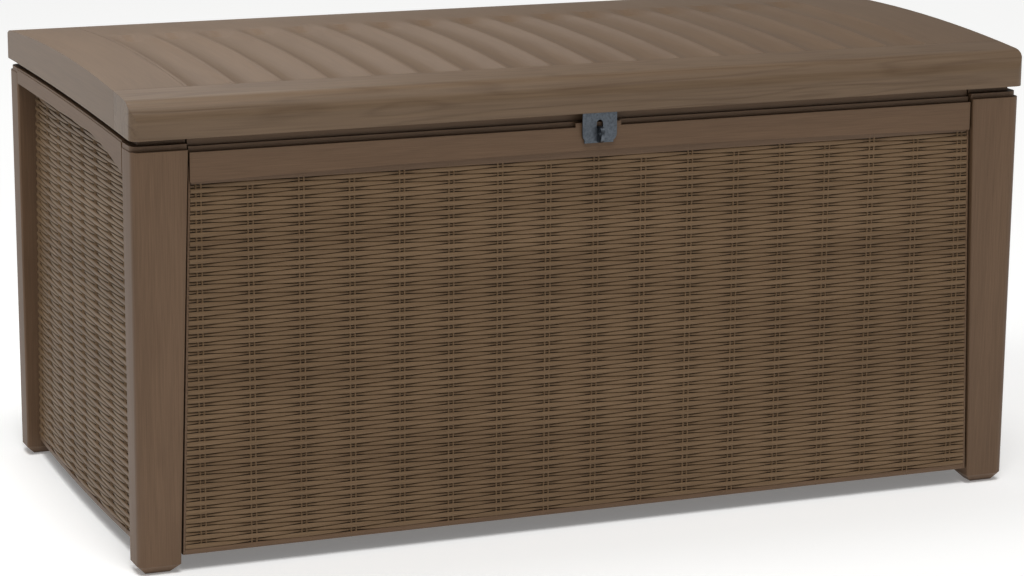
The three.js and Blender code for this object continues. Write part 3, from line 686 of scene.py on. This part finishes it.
# %% [markdown]
# ## Stakes
#
# The stakes come in pairs. Each is a slim half-round rod that shows only in the gaps. One pair is
# modelled and an array spaces it along the wall. On the end walls the row is tipped to the wall's
# lean, and each pair is then moved out to the wall's bow.

# %% Stakes
FRONT_STAKES = 17
SIDE_STAKES = 9
STAKES_TOP = 540 * MM
STAKE_RADIUS = 1.25 * MM
STAKE_THICKNESS = 2.7 * MM
STAKE_SPREAD = 3.4 * MM  # of each rod from the middle of its pair


def stake_rods(count, bottom, top):
    """Pairs of upright rods, a stake pitch apart, along X and centred."""
    rod = half_rod(top - bottom, (0, 0, 0))
    rod.scale = (STAKE_RADIUS, STAKE_THICKNESS, 1)
    rod.location = (-STAKE_SPREAD - (count - 1) / 2 * STAKE_PITCH, 0, (top + bottom) / 2)
    settle(rod)
    other = twin(rod, "other_rod")
    other.location.x = 2 * STAKE_SPREAD
    pair = join([rod, settle(other)], "stake_pair")
    return modify(
        pair,
        "ARRAY",
        count=count,
        use_relative_offset=False,
        use_constant_offset=True,
        constant_offset_displace=(STAKE_PITCH, 0, 0),
    )


front_stakes = stake_rods(FRONT_STAKES, WALL_BOTTOM, STAKES_TOP)
front_stakes.location.y = -WALL_FACE
settle(front_stakes)
for hand in (-1, 1):
    cut(front_stakes, (hand * front_edge(0, WALL_BORDER), 0, 0), (hand, 0, POST_TAPER))
back_stakes = turned_twin(front_stakes, "back_wall_stakes")
finish_piece(front_stakes, "front_wall_stakes", stake_resin, "box")
finish_piece(back_stakes, "back_wall_stakes", stake_resin, "box")

left_stakes = stake_rods(SIDE_STAKES, 0, STAKES_TOP - WALL_BOTTOM)
left_stakes.rotation_euler = (-math.atan(SIDE_LEAN), 0, -math.pi / 2)
settle(left_stakes)
for stake in range(SIDE_STAKES):
    y = (stake - (SIDE_STAKES - 1) / 2) * STAKE_PITCH
    pick(left_stakes, lambda co: abs(co.y - y) < STAKE_PITCH / 3)
    bpy.ops.transform.translate(value=(side_wall_x(WALL_BOTTOM) - side_bulge(y), 0, WALL_BOTTOM))
bpy.ops.object.mode_set(mode="OBJECT")
right_stakes = turned_twin(left_stakes, "right_wall_stakes")
finish_piece(left_stakes, "left_wall_stakes", stake_resin, "box")
finish_piece(right_stakes, "right_wall_stakes", stake_resin, "box")

# %% [markdown]
# ## Borders
#
# The weave ends in a plain flat border: along the foot of a wall, and on the front and back walls
# also beside the posts and in the shade under the rail. Each border is made of bars, and the ones
# beside the posts are slanted by moving their two ends. The foot of an end wall is cut into short
# lengths that follow the bow.

# %% Front and back borders
BORDER_PROUD = 2.6 * MM
BORDER_ROUND = 0.6 * MM
border_face = -WALL_FACE - BORDER_PROUD


def bar(low, high):
    """A box between two corners."""
    deselect()
    low, high = Vector(low), Vector(high)
    bpy.ops.mesh.primitive_cube_add(size=1, location=(low + high) / 2)
    piece = bpy.context.object
    piece.scale = high - low
    return settle(piece)


def slanted_border(hand):
    """An upright border along a post, as slanted as the post's edge."""
    inner, outer = sorted((hand * front_edge(0), hand * front_edge(0, WALL_BORDER)))
    piece = bar((inner, border_face, WALL_BOTTOM), (outer, -WALL_FACE, STAKES_TOP))
    for level in (WALL_BOTTOM, STAKES_TOP):
        pick(piece, lambda co: abs(co.z - level) < MM)
        bpy.ops.transform.translate(value=(-hand * POST_TAPER * level, 0, 0))
    bpy.ops.object.mode_set(mode="OBJECT")
    return piece


weave_top = FIRST_ROW + (2 * FRONT_PAIRS - 1) * ROW_PITCH + HALF_WIDTH[0] + HALF_WIDTH[1]
foot = front_edge(WALL_BOTTOM, WALL_BORDER)
head = front_edge(STAKES_TOP, WALL_BORDER)
front_border = join(
    [
        bar((-foot, border_face, WALL_BOTTOM), (foot, -WALL_FACE, WALL_BOTTOM + BORDER_HEIGHT)),
        bar((-head, border_face, weave_top), (head, -WALL_FACE, STAKES_TOP)),
        slanted_border(-1),
        slanted_border(1),
    ],
    "front_wall_border",
)
modify(front_border, "BEVEL", width=BORDER_ROUND, segments=2)
back_border = turned_twin(front_border, "back_wall_border")
finish_piece(front_border, "front_wall_border", rail_resin, "box")
finish_piece(back_border, "back_wall_border", rail_resin, "box")

# %% End borders
SIDE_STEPS = 16
side_places = [-POST_INNER_Y + 2 * POST_INNER_Y * step / SIDE_STEPS for step in range(1, SIDE_STEPS)]
left_border = bar(
    (side_wall_x(WALL_BOTTOM) - BORDER_PROUD, -POST_INNER_Y + POST_GAP, WALL_BOTTOM),
    (side_wall_x(WALL_BOTTOM), POST_INNER_Y - POST_GAP, WALL_BOTTOM + BORDER_HEIGHT),
)
bpy.ops.object.mode_set(mode="EDIT")
for y in side_places:
    bpy.ops.mesh.select_all(action="SELECT")
    bpy.ops.mesh.bisect(plane_co=(0, y, 0), plane_no=(0, 1, 0))
for y in side_places:
    pick(left_border, lambda co: abs(co.y - y) < MM)
    bpy.ops.transform.translate(value=(-side_bulge(y), 0, 0))
bpy.ops.object.mode_set(mode="OBJECT")
modify(left_border, "BEVEL", width=BORDER_ROUND, segments=2, limit_method="ANGLE")
right_border = turned_twin(left_border, "right_wall_border")
finish_piece(left_border, "left_wall_border", side_rail_resin, "box")
finish_piece(right_border, "right_wall_border", side_rail_resin, "box")

# %% [markdown]
# ## The fluted seat board
#
# The middle of the lid is a row of shallow dishes with thin ridges between them, like boards laid
# side by side. One flute starts as a plane. It is cut into columns, and each column is let down by
# the depth of the dish there. An array makes the row of flutes. Then each line of vertices across
# the lid is let down to the crown's arc, the rear edge is extruded round the nose, and Solidify
# gives the wall. The flutes stop short of the rear edge and of the right end, where the board is
# plain.

# %% Sizes of the seat board
FLUTES = 17
FLUTE_PITCH = 63.9 * MM
RIDGE = 4.8 * MM
FLUTE_DEPTH = 6.5 * MM
FLUTE_END = 134 * MM
FLUTE_RAMP = 24 * MM
FLUTE_START = 5 * MM  # length of the small end wall behind the front beam
DISH_STEPS = 12
ROW_STEPS = 14
REAR_STEPS = 5
CROWN_RADIUS = 4.2  # metres
NOSE_RADIUS = 28 * MM
NOSE_STEPS = 8
SEAT_WALL = 3.4 * MM
WELD = 0.05 * MM  # vertices of two flutes closer than this are one
NEAR = 0.2 * MM  # two vertices closer than this are on one line
seat_low, seat_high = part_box("lid_top_panel")
crown = seat_high.z
print("flutes:", FLUTES, "over", round(FLUTES * FLUTE_PITCH / MM), "mm")


def crown_sag(y):
    """How far the crowned lid has dropped at y."""
    return CROWN_RADIUS - math.sqrt(CROWN_RADIUS**2 - y**2)


def between(start, end, steps):
    """Evenly spaced places from start to end."""
    return [start + (end - start) * step / steps for step in range(steps + 1)]


nose_y = seat_high.y - NOSE_RADIUS
nose_z = crown - CROWN_RADIUS + math.sqrt((CROWN_RADIUS - NOSE_RADIUS) ** 2 - nose_y**2)
nose_turn = math.asin(nose_y / (CROWN_RADIUS - NOSE_RADIUS))
nose_start = nose_y + NOSE_RADIUS * math.sin(nose_turn)

# %% One flute
deselect()
bpy.ops.mesh.primitive_plane_add(size=1)
seat = bpy.context.object
seat.scale = (FLUTE_PITCH, nose_start - seat_low.y, 1)
seat.location = (seat_low.x + (RIDGE + FLUTE_PITCH) / 2, (nose_start + seat_low.y) / 2, crown)
settle(seat)

dish_left = seat_low.x + RIDGE
dish_width = FLUTE_PITCH - RIDGE
columns = between(dish_left, dish_left + dish_width, DISH_STEPS)
fluted = (seat_low.y + FLUTE_START, FLUTE_END)
rows = [seat_low.y] + between(*fluted, ROW_STEPS) + between(FLUTE_END + FLUTE_RAMP, nose_start, REAR_STEPS)
bpy.ops.object.mode_set(mode="EDIT")
for x in columns:
    bpy.ops.mesh.select_all(action="SELECT")
    bpy.ops.mesh.bisect(plane_co=(x, 0, 0), plane_no=(1, 0, 0))
for y in rows[1:-1]:
    bpy.ops.mesh.select_all(action="SELECT")
    bpy.ops.mesh.bisect(plane_co=(0, y, 0), plane_no=(0, 1, 0))
for x in columns[1:-1]:
    across = 2 * (x - dish_left) / dish_width - 1
    pick(seat, lambda co: abs(co.x - x) < NEAR and fluted[0] - NEAR < co.y < fluted[1] + NEAR)
    bpy.ops.transform.translate(value=(0, 0, -FLUTE_DEPTH * (1 - across**2)))
bpy.ops.object.mode_set(mode="OBJECT")

# %% The row of flutes, the crown and the nose
modify(
    seat,
    "ARRAY",
    count=FLUTES,
    use_relative_offset=False,
    use_constant_offset=True,
    constant_offset_displace=(FLUTE_PITCH, 0, 0),
    use_merge_vertices=True,
    merge_threshold=WELD,
)
last_ridge = seat_low.x + RIDGE / 2 + FLUTES * FLUTE_PITCH
for edge, end in ((seat_low.x + RIDGE / 2, seat_low.x), (last_ridge, seat_high.x)):
    pick(seat, lambda co: abs(co.x - edge) < NEAR)
    bpy.ops.mesh.extrude_region_move(TRANSFORM_OT_translate={"value": (end - edge, 0, 0)})
for y in rows:
    pick(seat, lambda co: abs(co.y - y) < NEAR)
    bpy.ops.transform.translate(value=(0, 0, -crown_sag(y)))
arc = [
    (nose_y + NOSE_RADIUS * math.sin(angle), nose_z + NOSE_RADIUS * math.cos(angle))
    for angle in between(nose_turn, math.pi / 2, NOSE_STEPS)
]
arc.append((seat_high.y, seat_low.z))
pick(seat, lambda co: abs(co.y - nose_start) < NEAR)
for (y0, z0), (y1, z1) in zip(arc, arc[1:]):
    bpy.ops.mesh.extrude_region_move(TRANSFORM_OT_translate={"value": (0, y1 - y0, z1 - z0)})
bpy.ops.object.mode_set(mode="OBJECT")
modify(seat, "SOLIDIFY", thickness=SEAT_WALL, offset=-1, use_even_offset=True)
finish_piece(seat, "lid_seat_board", lid_cross_resin, "lid", degrees=14)
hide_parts("lid_top_panel")

# %% [markdown]
# ## Ribs under the seat
#
# Five thin ribs stiffen the seat from below. Each is a bar whose top edge follows the crown.

# %% Ribs
RIBS = 5
RIB_THICKNESS = 4 * MM
RIB_PITCH = 194.4 * MM
RIB_BOTTOM = 617.9 * MM
RIB_BELOW_DISH = 2 * MM  # so a rib's top edge ends inside the seat's wall
RIB_BEFORE_NOSE = 2 * MM
RIB_STEPS = 12
rib_rear = nose_y - RIB_BEFORE_NOSE
rib_places = between(seat_low.y + FLUTE_START, rib_rear, RIB_STEPS)
ribs = []
for number in range(RIBS):
    x = (number - (RIBS - 1) / 2) * RIB_PITCH
    rib = bar(
        (x - RIB_THICKNESS / 2, rib_places[0], RIB_BOTTOM),
        (x + RIB_THICKNESS / 2, rib_rear, crown - FLUTE_DEPTH - RIB_BELOW_DISH),
    )
    bpy.ops.object.mode_set(mode="EDIT")
    for y in rib_places[1:-1]:
        bpy.ops.mesh.select_all(action="SELECT")
        bpy.ops.mesh.bisect(plane_co=(0, y, 0), plane_no=(0, 1, 0))
    for y in rib_places:
        pick(rib, lambda co: abs(co.y - y) < MM and co.z > RIB_BOTTOM + NEAR)
        bpy.ops.transform.translate(value=(0, 0, -crown_sag(y)))
    bpy.ops.object.mode_set(mode="OBJECT")
    ribs.append(rib)
finish_piece(join(ribs, "lid_seat_ribs"), "lid_seat_ribs", lid_cross_resin, "lid")

# %% [markdown]
# ## The other lid boards
#
# The front beam and the end boards are right in shape. They only need soft edges and the lid's own
# grain, which runs along each board.

# %% Lid boards
LID_ROUND_MM = 2.0
LID_EDGE_DEGREES = 30

dressed("lid_front_beam", lid_long_resin, "lid", LID_ROUND_MM, LID_EDGE_DEGREES)
for side in SIDES:
    dressed("lid_end_board_" + side, lid_cross_resin, "lid", LID_ROUND_MM, LID_EDGE_DEGREES)

# %% [markdown]
# ## Screws
#
# Each screw has a pan head with a cross recess, which shows at once that the fitting comes off. Two
# crossed bars are joined into a cutter, and a Boolean takes it out of the head.

# %% Screws
SCREW_ROUND_MM = 0.3
RECESS_LENGTH = 4.2 * MM
RECESS_WIDTH = 0.9 * MM
RECESS_DEPTH = 1.1 * MM


def screw(node, body, outward):
    """A pan-head screw with a cross recess. outward is the sign of Y that its head faces."""
    piece = dressed(node, zinc, body, SCREW_ROUND_MM)
    low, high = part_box(node)
    middle = (low + high) / 2
    face = high.y if outward > 0 else low.y
    arms = []
    for size_x, size_z in ((RECESS_LENGTH, RECESS_WIDTH), (RECESS_WIDTH, RECESS_LENGTH)):
        half = Vector((size_x / 2, RECESS_DEPTH, size_z / 2))
        centre = Vector((middle.x, face, middle.z))
        arms.append(bar(centre - half, centre + half))
    cutter = join(arms, "recess_cutter")
    modify(piece, "BOOLEAN", object=cutter, operation="DIFFERENCE", solver="EXACT", use_self=True)
    bpy.data.objects.remove(cutter)
    return piece


# %% [markdown]
# ## Latch, struts and hinges
#
# These fittings keep the frame's shapes, with the edges of pressed steel broken by a small bevel.
# Each strut's cylinder and rod ride on bodies of their own, because each turns on its own stud.

# %% Latch, struts and hinges
METAL_ROUND_MM = 0.4
ROD_ROUND_MM = 0.3

for part in ("lid_hasp", "lid_brace_front", "lid_brace_rear"):
    dressed(part, zinc, "lid", METAL_ROUND_MM)
dressed("lock_staple", zinc, "box", METAL_ROUND_MM)
for side in SIDES:
    dressed("strut_lower_bracket_" + side, zinc, "box", METAL_ROUND_MM)
    dressed("strut_upper_bracket_" + side, zinc, "lid", METAL_ROUND_MM)
    dressed("strut_cylinder_" + side, black_paint, "strut_cylinder_" + side, METAL_ROUND_MM)
    dressed("strut_rod_" + side, chrome, "strut_rod_" + side, ROD_ROUND_MM)
for place in ("left", "centre", "right"):
    dressed("hinge_body_leaf_" + place, zinc, "box", METAL_ROUND_MM)
    dressed("hinge_lid_leaf_" + place, zinc, "lid", METAL_ROUND_MM)
    dressed("hinge_pin_" + place, zinc, "lid", METAL_ROUND_MM)
    for letter in ("a", "b"):
        screw("hinge_body_screw_%s_%s" % (place, letter), "box", outward=1)
        screw("hinge_lid_screw_%s_%s" % (place, letter), "lid", outward=1)
for letter in ("a", "b"):
    screw("hasp_screw_" + letter, "lid", outward=-1)

# %% [markdown]
# ## Floor
#
# A plain pale floor that glows faintly, so that it stays white up to the box's own soft shadow. It
# lies half a millimetre below the feet, so the two faces never fight.

# %% Floor
FLOOR_SIZE = 60
FLOOR_DROP = 0.5 * MM
FLOOR_GLOW = 0.18
WHITE = (1, 1, 1, 1)

bpy.ops.mesh.primitive_plane_add(size=FLOOR_SIZE, location=(0, 0, -FLOOR_DROP))
floor = bpy.context.object
floor.name = "studio_floor"
floor_paint, _, _ = material(
    "matt_white_paint",
    Base_Color=linear("#fafaf9"),
    Roughness=0.9,
    Emission_Color=WHITE,
    Emission_Strength=FLOOR_GLOW,
)
floor.data.materials.append(floor_paint)

# %% [markdown]
# ## Light
#
# The light is that of a white studio. A narrow softbox close above the left end gives the
# lid its sheen there, and another, behind the box, grazes the flutes and picks out their ridges. A
# wide, soft sun from high in front lights the walls evenly. The sky is a dim white that opens the
# shadows.

# %% Light
SKY_STRENGTH = 0.22
KEY_STRENGTH = 1.9
KEY_SPREAD = math.radians(30)
KEY_DIRECTION = Vector((0.05, 0.36, -0.93))

world = bpy.data.worlds.new("soft_white_studio")
bpy.context.scene.world = world
world.use_nodes = True
background = world.node_tree.nodes["Background"]
background.inputs["Color"].default_value = WHITE
background.inputs["Strength"].default_value = SKY_STRENGTH


def softbox(name, place, size, watts, aim):
    """A rectangular area light at a place, turned towards the point it aims at."""
    bpy.ops.object.light_add(type="AREA", location=place)
    light = bpy.context.object
    light.name = name
    light.data.shape = "RECTANGLE"
    light.data.size, light.data.size_y = size
    light.data.energy = watts
    light.visible_camera = False
    light.rotation_euler = (Vector(aim) - Vector(place)).to_track_quat("-Z", "Y").to_euler()
    return light


softbox("overhead_softbox", (-0.75, 0.1, 1.7), (0.5, 1.4), 12, aim=(0.3, 0, 0.6))
softbox("rear_softbox", (0.2, 3.6, 2.6), (1.8, 1.4), 7, aim=(0, 0, 0.6))

bpy.ops.object.light_add(type="SUN")
key = bpy.context.object
key.name = "front_key"
key.data.energy = KEY_STRENGTH
key.data.angle = KEY_SPREAD
key.rotation_euler = KEY_DIRECTION.to_track_quat("-Z", "Y").to_euler()
bpy.context.scene.view_settings.view_transform = "Standard"

# %% [markdown]
# ## Size and finish
#
# The finished pieces must not make the box larger or smaller.

# %% Size and finish
bpy.context.view_layer.update()
